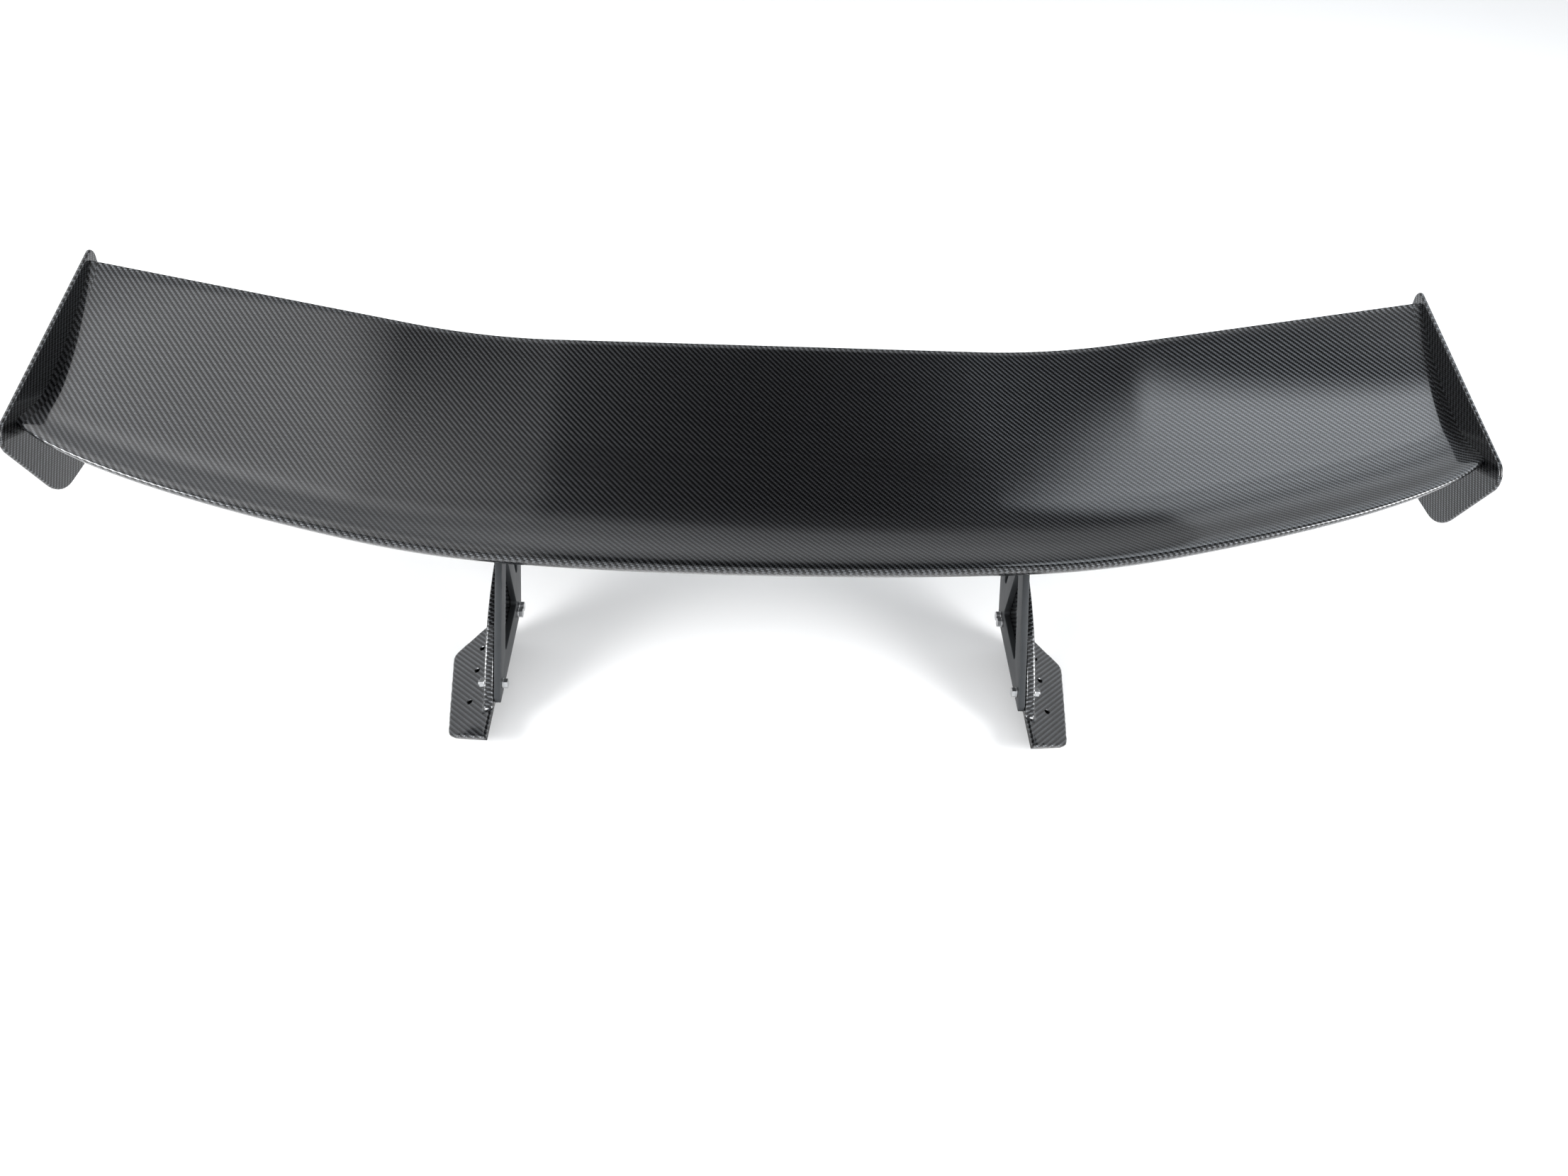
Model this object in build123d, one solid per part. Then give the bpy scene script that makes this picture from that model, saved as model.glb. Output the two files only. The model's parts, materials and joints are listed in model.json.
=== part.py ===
from build123d import *

import math
import os

# A rear wing on two uprights, in millimetres and degrees. It is laid out with +X to the car's left, +Y to
# the rear and +Z up. The pieces are first placed round the uprights: the middle of the car is X 0, the front
# hole of each upright is Y 0, and the underside of each fin is Z 0. The last step moves them all together.

# ---- driving dimensions: wing ----
SPAN = 1620  # between the outer faces of the two tip ribs
CENTRE_LENGTH = 378  # leading to trailing edge on the centre line, seen from above
TIP_SWEEP = 137  # how far the leading edge has swept back at the tips
SWEEP_SPAN = 832  # half axis, along X, of the ellipse that the leading edge follows
CENTRE_PITCH = 36.5  # how much higher the trailing edge is than the leading edge at the centre
KNEE = 360  # distance from the centre line to the bend where the outer panels start to rise
KNEE_BLEND = 90  # half the width of that bend
LEADING_RISE = 0.15  # rise of the leading edge per millimetre of outer panel
TRAILING_RISE = 0.20  # rise of the trailing edge per millimetre of outer panel
DISH_CENTRE = 0.05  # depth of the hollow upper face at the centre, as a share of the length there
DISH_TIP = 0.08  # the same at the tips
DISH_PLACE = 0.32  # where the section bends most, as a share of its length from the leading edge
THICKNESS = 0.115  # thickest point of the section, as a share of its length
TRAILING_THICKNESS = 3.0
SKIN = 2.0
GLUE = 0.3
TIP_RIB = 8.0

# ---- driving dimensions: uprights, fins and feet ----
UPRIGHT_FACE = 320  # outer face of each upright, and inner face of the fin that it is bolted to
UPRIGHT = 8.0
FIN = 12.0
FLANGE = 6.0
FLANGE_FALL = 25  # how far the flange slopes down, away from the middle of the car
GASKET = 1.5
PANEL = 1.2  # room for the car's own sheet between the gasket and the backing plate
BACKING = 8.0
TAB = 6.0
TAB_FLANGE = 4.0
TAB_DROP = 32  # from the wing's underside down to the pivot
LOCK_SHARE = 0.44  # how far back along the centre section the lock bolt is
SWING = 5  # how far the wing tilts either way from its middle setting
ENDPLATE = 5.0
SLIP = 0.2  # gap left beside a face that slides or is only bedded in adhesive

# ---- the wing's inner frame, with places along the section as shares of its length ----
CAVITY = (0.03, 0.93)  # where the inside of the wing begins and ends
MAIN_SPAR = 0.32
REAR_SPAR = 0.84
MAIN_SPAR_WIDTH = 10.0
REAR_SPAR_WIDTH = 7.0
RIB_GAP = 2.5  # room for adhesive between a rib and the main spar
NOSE_RIB = 0.06  # where a nose rib begins
CENTRE_RIB = 6.0
OTHER_RIBS = 5.0
OUTER_RIB_PLACE = 580.0  # from the centre line
MOUNT_RIB_STEP = 26.0  # from the middle of a tab to the rib on either side of it
INSERT = 2.7  # outer radius of a threaded insert in a tip rib

# a layer is (1 for the upper face or -1 for the underside, height over that face)
UNDER_SKIN = (-1, SKIN)
OVER_SKIN = (1, -SKIN)
BED = (-1, SKIN + GLUE)
CEILING = (1, -SKIN - GLUE)

# ---- endplates ----
# share of the tip's length and lift off its middle; the rear one is low because the section there is thin
ENDPLATE_HOLES = ((0.09, 0.0), (0.344, -4.0), (0.91, -0.75))
# corners and their radii, measured from the rear screw: towards the front screw is negative, and up
ENDPLATE_CORNERS = (((45.5, 16.5), 9), ((-264, 36), 22), ((-242, -95), 42), ((-27, -155), 26))

# ---- tabs under the wing, and the nut plates over them ----
TAB_WIDTH = 38.0
TAB_ENDS = (0.40, 0.80)  # shares of the section's length
NUT_PLATE = 6.0
NUT_PLATE_ENDS = (0.42, 0.78)
NUT_PLATE_INSET = 4.0  # the nut plate is this much narrower than the tab on each side
TAB_SCREW_ROW = (0.46, 0.6, 0.74)  # shares of the section's length
TAB_SCREW_OUT = 23.0  # from the outer face of the upright
TAB_SCREW_LENGTH = 16.0
TAB_BORE = 26.0  # half above the wing's underside, half below it
TAB_SCREW_HEAD = 3.2
TAB_SCREW_GAP = 0.3  # adhesive under each head
# the web's lower corners, as distances to the rear of the lock or the pivot and up
WEB_ROUND_LOCK = ((-8.0, -22.0), (8.0, -22.0))
WEB_ROUND_PIVOT = ((-4.0, -14.0), (10.0, -10.0))
WEB_FRONT_DROP = 4.0  # from the lock down to the foot of the web's front edge
WEB_REAR_LIFT = 2.0  # from the pivot up to the foot of its rear edge

# ---- fasteners: radii of shank, clearance hole, head and washer; heights of head and washer ----
M4 = dict(shank=2.0, hole=2.5, head=3.8, height=2.3, washer=4.5, washer_height=0.8)
M6 = dict(shank=3.0, hole=3.3, head=5.25, height=5.0, washer=6.25, washer_height=1.6)
M8 = dict(shank=4.0, hole=4.3, head=6.5, height=6.5, washer=8.0, washer_height=1.6)
BOLT_END = 2.0  # how far a bolt stands out of its nut
THREAD_GAP = 0.05  # keeps a bolt just clear of the nut or insert that it is screwed into
CLEAR = 600.0  # reaches past the whole of a foot
PAST = 1.0  # a bore starts and ends this far outside the piece it is cut in
SLEEVE_RADIUS = 4.85
SLEEVE_BORE = 4.05
RUNNING_GAP = 0.05

# ---- the upright's outline, from its front hole, rearwards and up ----
HOLE_FRONT = (0.0, 0.0)
HOLES_REAR = ((119.0, 0.0), (130.5, 0.0))
PIVOT = (268.5, 187.0)
LOCK = (136.5, 149.8)
HOLE_STEP = 12.4  # from the pivot and lock holes to the spare hole beside each
TOE = ((-20.5, -11.5), (-20.0, -3.5))
HEEL = (138.5, -11.5)
SHOULDER = (122.0, 159.0)
SCALLOP = (190.0, 166.6)
PIVOT_END = 11.0  # radius of the upright's round end
PIVOT_END_ANGLES = (115, 35, -35)  # where that end begins, passes and stops
LOWER_WINDOW = ((32.3, 15.5), (121.0, 15.0), (112.0, 109.5))
UPPER_WINDOW = ((142.5, 37.5), (215.5, 142.5), (132.5, 129.0))
WINDOW_ROUND = 5.0
HEEL_ROUND = 5.0

# ---- where the fin, the flange and the upright meet ----
FIN_START = -32.0  # the front end of the fin's ridge
FIN_LENGTH = 172.0
BOLT_HEIGHT = 17.0  # of the upright's three lower holes over the fin's underside
BASE_HOLES = (24.0, 75.0, 112.0)  # flange holes, from the front end of the fin
BASE_HOLE_OUT = 34.5  # from the foot's inner edge, along the flange
# the flange's corners: distance out from the inner edge, and distance behind the front end of the fin
FLANGE_CORNERS = ((0, -42), (56, -21), (79, 116), (12, FIN_LENGTH), (0, FIN_LENGTH))
FLANGE_ROUND = 14.0
GASKET_INSET = 1.5
FIN_RIDGE = ((0, 0), (49, 52), (112, 88), (173, 106))  # behind the fin's front end, and up
FIN_TIP = (203, 92)
FIN_BACK = (208, 62)
BACKING_LENGTH = 131.0
BACKING_WIDTH = 33.5
BACKING_ROUND = 12.0
BACKING_OUT = 33.0  # the middle of the backing plate, out and back like the flange's corners
BACKING_BACK = 65.5

SIDES = {"left": 1, "right": -1}
HALF = SPAN / 2


# ---------------------------------------------------------------- wing section
def rise(x):
    """Height of the outer panel, per unit of slope: flat, then a parabola round the knee, then straight."""
    past = abs(x) - KNEE
    if past <= -KNEE_BLEND:
        return 0.0
    if past >= KNEE_BLEND:
        return past
    return (past + KNEE_BLEND) ** 2 / (4 * KNEE_BLEND)


def sweep(x):
    """How far back the leading edge is at x, on an ellipse that is TIP_SWEEP back at the tips."""
    depth = TIP_SWEEP / (1 - math.sqrt(1 - (HALF / SWEEP_SPAN) ** 2))
    return depth * (1 - math.sqrt(1 - (x / SWEEP_SPAN) ** 2))


def half_thickness(share):
    """Half the thickness over the length: the usual four-digit aerofoil curve, closed at the back."""
    curve = 0.2969 * math.sqrt(share) - 0.126 * share - 0.3516 * share**2
    return 5 * THICKNESS * (curve + 0.2843 * share**3 - 0.1036 * share**4)


def middle_depth(share, x):
    """How far the middle of the section hangs under its chord, over its length."""
    dish = DISH_CENTRE + (DISH_TIP - DISH_CENTRE) * rise(x) / rise(HALF)
    depth = dish + half_thickness(DISH_PLACE)
    if share < DISH_PLACE:
        return depth * (2 * DISH_PLACE * share - share**2) / DISH_PLACE**2
    return depth * (1 - 2 * DISH_PLACE + 2 * DISH_PLACE * share - share**2) / (1 - DISH_PLACE) ** 2


def section_height(x, share, layer):
    """Height over the centre's leading edge. layer: 1 upper face, 0 middle of the section, -1 underside."""
    length = CENTRE_LENGTH - sweep(x)
    front = LEADING_RISE * rise(x)
    back = CENTRE_PITCH + TRAILING_RISE * rise(x)
    thickness = half_thickness(share) * length + TRAILING_THICKNESS / 2 * share
    return front + (back - front) * share - middle_depth(share, x) * length + layer * thickness


def section_point(x, share, layer, lift=0.0):
    """A point of the section at x, lifted that far over one of its layers."""
    y = WING_Y + sweep(x) + share * (CENTRE_LENGTH - sweep(x))
    return Vector(x, y, WING_Z + section_height(x, share, layer) + lift)


def share_at(x, y):
    """The share of the section's length at which it passes y."""
    return (y - WING_Y - sweep(x)) / (CENTRE_LENGTH - sweep(x))


def underside_slope(x, share):
    """Angle of the underside to the level, seen from the side."""
    step = 0.01
    run = section_point(x, share + step, -1) - section_point(x, share - step, -1)
    return math.degrees(math.atan2(run.Z, run.Y))


# the centre's leading edge: the lock is under LOCK_SHARE of the length, the pivot TAB_DROP under the skin
WING_Y = LOCK[0] - LOCK_SHARE * CENTRE_LENGTH
PIVOT_SHARE = share_at(UPRIGHT_FACE, PIVOT[0])
WING_Z = PIVOT[1] + BOLT_HEIGHT + TAB_DROP - section_height(UPRIGHT_FACE, PIVOT_SHARE, -1)


def slice_between(x, bottom, top, front, back, points=14):
    """The face of a section at x between two (layer, lift) curves, from share front to share back."""
    shares = [front + (back - front) * (1 - math.cos(math.pi * i / points)) / 2 for i in range(points + 1)]
    lower = [section_point(x, share, *bottom) for share in shares]
    upper = [section_point(x, share, *top) for share in shares]
    edges = [Spline(*lower), Spline(*upper)]
    for low, high in ((lower[0], upper[0]), (lower[-1], upper[-1])):
        if (high - low).length > 0.001:
            edges.append(Line(low, high))
    return Face(Wire(edges))


def panel(stations, bottom, top, front, back):
    """A solid through the section's slices at these stations along the wing."""
    return loft([slice_between(x, bottom, top, front, back) for x in stations])


def span_stations(end):
    """Stations from tip to tip: one in the middle, closer together round the knee and near the tips."""
    bend = (KNEE - KNEE_BLEND, KNEE - KNEE_BLEND / 3, KNEE + KNEE_BLEND / 3, KNEE + KNEE_BLEND)
    outer = (0.68 * end, 0.80 * end, 0.90 * end, 0.96 * end, end)
    half = (0.5 * bend[0],) + bend + outer
    return [-x for x in reversed(half)] + [0] + list(half)


# ---------------------------------------------------------------- small helpers
def cylinder_x(radius, start, end, y, z):
    """A bar along X from start to end."""
    place = Plane(origin=((start + end) / 2, y, z), x_dir=(0, 1, 0), z_dir=(1, 0, 0))
    return place * Cylinder(radius, abs(end - start))


def hexagon_x(radius, start, end, y, z):
    """A hexagonal prism along X. radius is half its width across flats."""
    place = Plane(origin=(min(start, end), y, z), x_dir=(0, 1, 0), z_dir=(1, 0, 0))
    return place * extrude(RegularPolygon(radius, 6, major_radius=False), abs(end - start))


def washer_x(size, start, side, y, z):
    """A washer with one face at start and the other one washer height further along, times side."""
    end = start + side * size["washer_height"]
    return cylinder_x(size["washer"], start, end, y, z) - cylinder_x(size["hole"], start, end, y, z)


def plate_x(outline, start, end):
    """A plate standing across X from a closed outline of (y, z) edges."""
    place = Plane(origin=(min(start, end), 0, 0), x_dir=(0, 1, 0), z_dir=(1, 0, 0))
    return place * extrude(make_face(outline), abs(end - start))


def in_upright(point):
    """A place on the upright as (y, z) of the whole part."""
    return point[0], point[1] + BOLT_HEIGHT


def along_top(point, distance):
    """A place that far from point, towards the front, along the line through the pivot and lock holes."""
    run = Vector(*LOCK) - Vector(*PIVOT)
    moved = Vector(*point) + run.normalized() * distance
    return moved.X, moved.Y


def solids_of(shape):
    """The shape's solids as one compound, so that a node holds solids and nothing else."""
    return Compound(children=list(shape.solids()))


def rounded_triangle(corners, radius):
    """A triangular outline with all its corners rounded."""
    return fillet(make_face(Polyline(*corners, close=True)).vertices(), radius)


# ---------------------------------------------------------------- uprights and what bolts them to the fins
def round_pivot(angle):
    """A point of the upright's round end, at an angle in degrees up from straight behind the pivot."""
    y, z = in_upright(PIVOT)
    turn = math.radians(angle)
    return y + PIVOT_END * math.cos(turn), z + PIVOT_END * math.sin(turn)


def upright_outline():
    """Straight toe, front edge, shoulder, scalloped top, round pivot end, rear edge and foot."""
    toe_low, toe_high = [in_upright(point) for point in TOE]
    heel, shoulder, scallop = [in_upright(point) for point in (HEEL, SHOULDER, SCALLOP)]
    top, far, end = [round_pivot(angle) for angle in PIVOT_END_ANGLES]
    return [
        Line(toe_low, toe_high),
        Line(toe_high, shoulder),
        ThreePointArc(shoulder, scallop, top),
        ThreePointArc(top, far, end),
        Line(end, heel),
        Line(heel, toe_low),
    ]


def upright(side):
    """One flat plate with its two triangular windows and seven holes."""
    face = make_face(upright_outline())
    heel = face.vertices().sort_by_distance((*in_upright(HEEL), 0))[0]
    face = fillet(heel, HEEL_ROUND)
    for window in (LOWER_WINDOW, UPPER_WINDOW):
        face -= rounded_triangle([in_upright(point) for point in window], WINDOW_ROUND)
    for hole in (HOLE_FRONT, *HOLES_REAR):
        face -= Pos(*in_upright(hole)) * Circle(M6["hole"])
    face -= Pos(*in_upright(PIVOT)) * Circle(SLEEVE_RADIUS + RUNNING_GAP)
    for hole in (along_top(PIVOT, HOLE_STEP), LOCK, along_top(LOCK, HOLE_STEP)):
        face -= Pos(*in_upright(hole)) * Circle(M8["hole"])
    lower_x = side * (UPRIGHT_FACE - UPRIGHT / 2) - UPRIGHT / 2
    place = Plane(origin=(lower_x, 0, 0), x_dir=(0, 1, 0), z_dir=(1, 0, 0))
    return place * extrude(face, UPRIGHT)


def through_bolt(size, head, nut, side, y, z):
    """A bolt from a hexagon head to a nut: returns the bolt, its nut and its two washers."""
    head_face = head - side * size["washer_height"]
    nut_face = nut + side * size["washer_height"]
    nut_end = nut_face + side * size["height"]
    bolt = hexagon_x(size["head"], head_face, head_face - side * size["height"], y, z)
    bolt += cylinder_x(size["shank"], head_face, nut_end + side * BOLT_END, y, z)
    nut_body = hexagon_x(size["head"], nut_face, nut_end, y, z)
    nut_body -= cylinder_x(size["shank"] + THREAD_GAP, nut_face, nut_end, y, z)
    washers = [washer_x(size, head, -side, y, z), washer_x(size, nut, side, y, z)]
    return bolt, nut_body, washers


def fin_fasteners(side):
    """The three bolts that hold an upright against its fin."""
    head = side * (UPRIGHT_FACE - UPRIGHT)
    nut = side * (UPRIGHT_FACE + FIN)
    sets = [through_bolt(M6, head, nut, side, *in_upright(hole)) for hole in (HOLE_FRONT, *HOLES_REAR)]
    return (
        Compound(children=[bolt for bolt, _, _ in sets]),
        Compound(children=[nut_body for _, nut_body, _ in sets]),
        Compound(children=[washer for _, _, washers in sets for washer in washers]),
    )


def top_fasteners(side, hole):
    """The bolt, nut and washers of the pivot or of the lock, through the upright and the wing's tab."""
    head = side * (UPRIGHT_FACE - UPRIGHT)
    nut = side * (UPRIGHT_FACE + TAB + 2 * SLIP)
    bolt, nut_body, washers = through_bolt(M8, head, nut, side, *in_upright(hole))
    return bolt, nut_body, Compound(children=washers)


def pivot_sleeve(side):
    """The hard sleeve in the upright's large hole, long enough for the tab to turn on it."""
    start = side * (UPRIGHT_FACE - UPRIGHT)
    end = side * (UPRIGHT_FACE + TAB + 2 * SLIP)
    y, z = in_upright(PIVOT)
    return cylinder_x(SLEEVE_RADIUS, start, end, y, z) - cylinder_x(SLEEVE_BORE, start, end, y, z)


# ---------------------------------------------------------------- feet
def flange_plane(side, height=0.0):
    """Plane of the flange: x outwards and down the slope, y along the car, z off its lower face."""
    fall = math.radians(FLANGE_FALL)
    out = Vector(side * math.cos(fall), 0, -math.sin(fall))
    normal = Vector(side * math.sin(fall), 0, math.cos(fall))
    corner = Vector(side * UPRIGHT_FACE, FIN_START, 0) + normal * height
    return Plane(origin=corner, x_dir=out, z_dir=normal)


def rearwards(side, distance):
    """The flange plane's y for a distance to the rear: the plane is right-handed on both sides."""
    return side * distance


def flange_face(side, inset=0.0):
    """Outline of the flange on its own plane, with two rounded outer corners."""
    corners = [(out, rearwards(side, back)) for out, back in FLANGE_CORNERS]
    outline = make_face(Polyline(*corners, close=True))
    outer = outline.vertices().sort_by(Axis.X)[-2:]
    outline = fillet(outer, FLANGE_ROUND)
    return offset(outline, -inset) if inset else outline


def base_bores(side, low, high):
    """The three bolt bores through the flange, its gasket and the backing plate."""
    bores = [
        Pos(BASE_HOLE_OUT, rearwards(side, back), (low + high) / 2) * Cylinder(M6["hole"], high - low)
        for back in BASE_HOLES
    ]
    return [flange_plane(side) * bore for bore in bores]


def fin_outline():
    """Swept fin: ridge rising from the front, round tip, rear edge leaning back."""
    below = -FLANGE
    end = FIN_START + FIN_LENGTH
    ridge = [(FIN_START + back, up) for back, up in FIN_RIDGE]
    tip, back = [(FIN_START + back, up) for back, up in (FIN_TIP, FIN_BACK)]
    return [
        Line((FIN_START, below), ridge[0]),
        Spline(*ridge),
        ThreePointArc(ridge[-1], tip, back),
        Line(back, (end, 0)),
        Line((end, 0), (end, below)),
        Line((end, below), (FIN_START, below)),
    ]


def foot(side):
    """The moulded foot: a sloping flange and an upright fin in one piece."""
    flange = flange_plane(side) * extrude(flange_face(side), FLANGE)
    fin = plate_x(fin_outline(), side * UPRIGHT_FACE, side * (UPRIGHT_FACE + FIN))
    under = flange_plane(side) * Pos(0, 0, -CLEAR / 2) * Box(CLEAR, CLEAR, CLEAR)
    body = flange + (fin - under)
    body -= Pos(side * (UPRIGHT_FACE - CLEAR / 2), 0, 0) * Box(CLEAR, CLEAR, CLEAR)
    for hole in (HOLE_FRONT, *HOLES_REAR):
        y, z = in_upright(hole)
        body -= cylinder_x(M6["hole"], side * UPRIGHT_FACE, side * (UPRIGHT_FACE + FIN), y, z)
    for bore in base_bores(side, 0, FLANGE):
        body -= bore
    return body


def gasket(side):
    """The thin rubber pad that keeps the foot off the paint."""
    pad = flange_plane(side, -GASKET) * extrude(flange_face(side, GASKET_INSET), GASKET)
    for bore in base_bores(side, -GASKET, 0):
        pad -= bore
    return pad


def backing_plate(side):
    """The plate under the car's own panel that spreads the load of the three bolts."""
    top = -GASKET - PANEL
    middle = Pos(BACKING_OUT, rearwards(side, BACKING_BACK))
    outline = middle * RectangleRounded(BACKING_WIDTH, BACKING_LENGTH, BACKING_ROUND)
    plate = flange_plane(side, top - BACKING) * extrude(outline, BACKING)
    for bore in base_bores(side, top - BACKING, top):
        plate -= bore
    return plate


# ---------------------------------------------------------------- the wing's own frame and skins
def skins():
    """The upper and lower skin, bonded to each other along the nose and the tail."""
    stations = span_stations(HALF - TIP_RIB)
    cavity = panel(stations, UNDER_SKIN, OVER_SKIN, *CAVITY)
    upper = panel(stations, (0, 0), (1, 0), 0, 1) - cavity
    lower = panel(stations, (-1, 0), (0, 0), 0, 1) - cavity
    return upper, lower


def spar(share, width):
    """A spar from tip to tip that follows the same share of the wing's length."""
    half_width = width / 2 / CENTRE_LENGTH
    return panel(span_stations(HALF - TIP_RIB), BED, CEILING, share - half_width, share + half_width)


BESIDE_SPAR = (MAIN_SPAR_WIDTH / 2 + RIB_GAP) / CENTRE_LENGTH


def rib(x, width):
    """A rib between the two spars."""
    stations = (x - width / 2, x, x + width / 2)
    return panel(stations, BED, CEILING, MAIN_SPAR + BESIDE_SPAR, REAR_SPAR - BESIDE_SPAR)


def nose_rib(x, width):
    """The short rib ahead of the main spar."""
    stations = (x - width / 2, x, x + width / 2)
    return panel(stations, BED, CEILING, NOSE_RIB, MAIN_SPAR - BESIDE_SPAR)


def tip_rib(side):
    """The full-section rib that closes the end of the wing, with room for three inserts."""
    inner = side * (HALF - TIP_RIB)
    outer = side * HALF
    stations = sorted((inner, (inner + outer) / 2, outer))
    body = panel(stations, (-1, 0), (1, 0), 0, 1)
    for y, z in endplate_screws():
        body -= cylinder_x(INSERT + THREAD_GAP, inner, outer, y, z)
    return body


def endplate_screws():
    """The (y, z) places of the three endplate screws, front one first."""
    places = [section_point(HALF, share, 0, lift) for share, lift in ENDPLATE_HOLES]
    return [(place.Y, place.Z) for place in places]


def inserts(side):
    """Brass threaded inserts in a tip rib."""
    inner = side * (HALF - TIP_RIB)
    outer = side * HALF
    pieces = []
    for y, z in endplate_screws():
        body = cylinder_x(INSERT, inner, outer, y, z)
        pieces.append(body - cylinder_x(M4["shank"] + THREAD_GAP, inner, outer, y, z))
    return Compound(children=pieces)


def endplate(side):
    """A flat four-sided plate with rounded corners, lined up with its front and rear screws."""
    front, _, rear = [Vector(0, y, z) for y, z in endplate_screws()]
    ahead = (front - rear).normalized()
    inner = side * HALF
    outer = side * (HALF + ENDPLATE)
    plane = Plane(origin=(min(inner, outer), rear.Y, rear.Z), x_dir=-ahead, z_dir=(1, 0, 0))
    outline = make_face(Polyline(*[corner for corner, _ in ENDPLATE_CORNERS], close=True))
    for corner, radius in ENDPLATE_CORNERS:
        nearest = outline.vertices().sort_by_distance((*corner, 0))[0]
        outline = fillet(nearest, radius)
    plate = plane * extrude(outline, ENDPLATE)
    for y, z in endplate_screws():
        plate -= cylinder_x(M4["hole"], inner, outer, y, z)
    return plate


def endplate_fasteners(side):
    """Button-head screws through an endplate into its inserts, each with a washer."""
    face = side * (HALF + ENDPLATE)
    seat = face + side * M4["washer_height"]
    screws = []
    washers = []
    for y, z in endplate_screws():
        washers.append(washer_x(M4, face, side, y, z))
        screw = cylinder_x(M4["head"], seat, seat + side * M4["height"], y, z)
        screw += cylinder_x(M4["shank"], seat, side * (HALF - TIP_RIB + PAST), y, z)
        screws.append(screw)
    return Compound(children=screws), Compound(children=washers)


# ---------------------------------------------------------------- tabs that join the wing to its uprights
def tab_screw_planes(side):
    """A plane on the underside at each tab screw, z pointing up into the wing."""
    x = side * (UPRIGHT_FACE + TAB_SCREW_OUT)
    planes = []
    for share in TAB_SCREW_ROW:
        slope = math.radians(underside_slope(x, share))
        normal = (0, -math.sin(slope), math.cos(slope))
        planes.append(Plane(origin=section_point(x, share, -1), x_dir=(1, 0, 0), z_dir=normal))
    return planes


def tab_bores(side, radius):
    """Bores for the tab screws that pass through the tab, the lower skin and the nut plate."""
    return [plane * Cylinder(radius, TAB_BORE) for plane in tab_screw_planes(side)]


def lock_slot(side):
    """The curved slot that lets the tab swing past the lock bolt."""
    pivot = Vector(*in_upright(PIVOT))
    reach = (Vector(*LOCK) - Vector(*PIVOT)).length
    width = M8["hole"]
    swing = math.radians(SWING) + SLIP / reach
    middle = math.atan2(LOCK[1] - PIVOT[1], LOCK[0] - PIVOT[0])

    def at(radius, angle):
        return pivot.X + radius * math.cos(angle), pivot.Y + radius * math.sin(angle)

    start, end = middle - swing, middle + swing
    outline = [
        ThreePointArc(at(reach - width, start), at(reach - width, middle), at(reach - width, end)),
        ThreePointArc(at(reach - width, end), at(reach, end + width / reach), at(reach + width, end)),
        ThreePointArc(at(reach + width, end), at(reach + width, middle), at(reach + width, start)),
        ThreePointArc(at(reach + width, start), at(reach, start - width / reach), at(reach - width, start)),
    ]
    return plate_x(outline, side * (UPRIGHT_FACE - PAST), side * (UPRIGHT_FACE + TAB + PAST))


def web_outline(inner):
    """The web's outline: its ends rise into the wing, and its lower edge passes the lock and the pivot."""
    front = section_point(inner, TAB_ENDS[0], -1)
    rear = section_point(inner, TAB_ENDS[1], -1)
    lock_y, lock_z = in_upright(LOCK)
    pivot_y, pivot_z = in_upright(PIVOT)
    round_lock = [(lock_y + back, lock_z + up) for back, up in WEB_ROUND_LOCK]
    round_pivot_hole = [(pivot_y + back, pivot_z + up) for back, up in WEB_ROUND_PIVOT]
    return Polyline(
        (front.Y, front.Z + TAB_DROP),
        (front.Y, lock_z - WEB_FRONT_DROP),
        *round_lock,
        *round_pivot_hole,
        (rear.Y, pivot_z + WEB_REAR_LIFT),
        (rear.Y, rear.Z + TAB_DROP),
        close=True,
    )


def tab(side):
    """The angle bracket under the wing: a flange that follows the skin and a web with pivot and slot."""
    inner = UPRIGHT_FACE + SLIP
    outer = inner + TAB
    pivot_y, pivot_z = in_upright(PIVOT)
    stations = sorted(side * x for x in (inner, inner + TAB_WIDTH / 2, inner + TAB_WIDTH))
    flange = panel(stations, (-1, -SLIP - TAB_FLANGE), (-1, -SLIP), *TAB_ENDS)
    wide = sorted(side * x for x in (inner - TAB, inner + TAB / 2, outer + TAB))
    inside_flange = (-1, -SLIP - TAB_FLANGE / 2)
    into_wing = panel(wide, inside_flange, (-1, 3 * TAB_DROP), TAB_ENDS[0] - 0.05, TAB_ENDS[1] + 0.05)
    body = plate_x(web_outline(inner), side * inner, side * outer) - into_wing + flange
    body -= cylinder_x(
        SLEEVE_RADIUS + RUNNING_GAP, side * (inner - PAST), side * (outer + PAST), pivot_y, pivot_z
    )
    body -= lock_slot(side)
    for bore in tab_bores(side, M6["hole"]):
        body -= bore
    return body


def nut_plate(side):
    """The threaded plate inside the wing, over the tab."""
    middle = UPRIGHT_FACE + SLIP + TAB_WIDTH / 2
    reach = TAB_WIDTH / 2 - NUT_PLATE_INSET
    stations = sorted(side * x for x in (middle - reach, middle, middle + reach))
    body = panel(stations, BED, (-1, SKIN + GLUE + NUT_PLATE), *NUT_PLATE_ENDS)
    for bore in tab_bores(side, M6["shank"] + THREAD_GAP):
        body -= bore
    return body


def tab_screws(side):
    """The screws that draw the tab and the nut plate together through the lower skin."""
    seat = -SLIP - TAB_FLANGE - TAB_SCREW_GAP
    head = Pos(0, 0, seat - TAB_SCREW_HEAD / 2) * Cylinder(M6["head"], TAB_SCREW_HEAD)
    shank = Pos(0, 0, seat + TAB_SCREW_LENGTH / 2) * Cylinder(M6["shank"], TAB_SCREW_LENGTH)
    return Compound(children=[plane * (head + shank) for plane in tab_screw_planes(side)])


# ---------------------------------------------------------------- the whole wing
def whole_ribs(place, width):
    """A rib from the nose to the rear spar, in two pieces with the main spar between them."""
    return Compound(children=[rib(place, width), nose_rib(place, width)])


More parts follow.
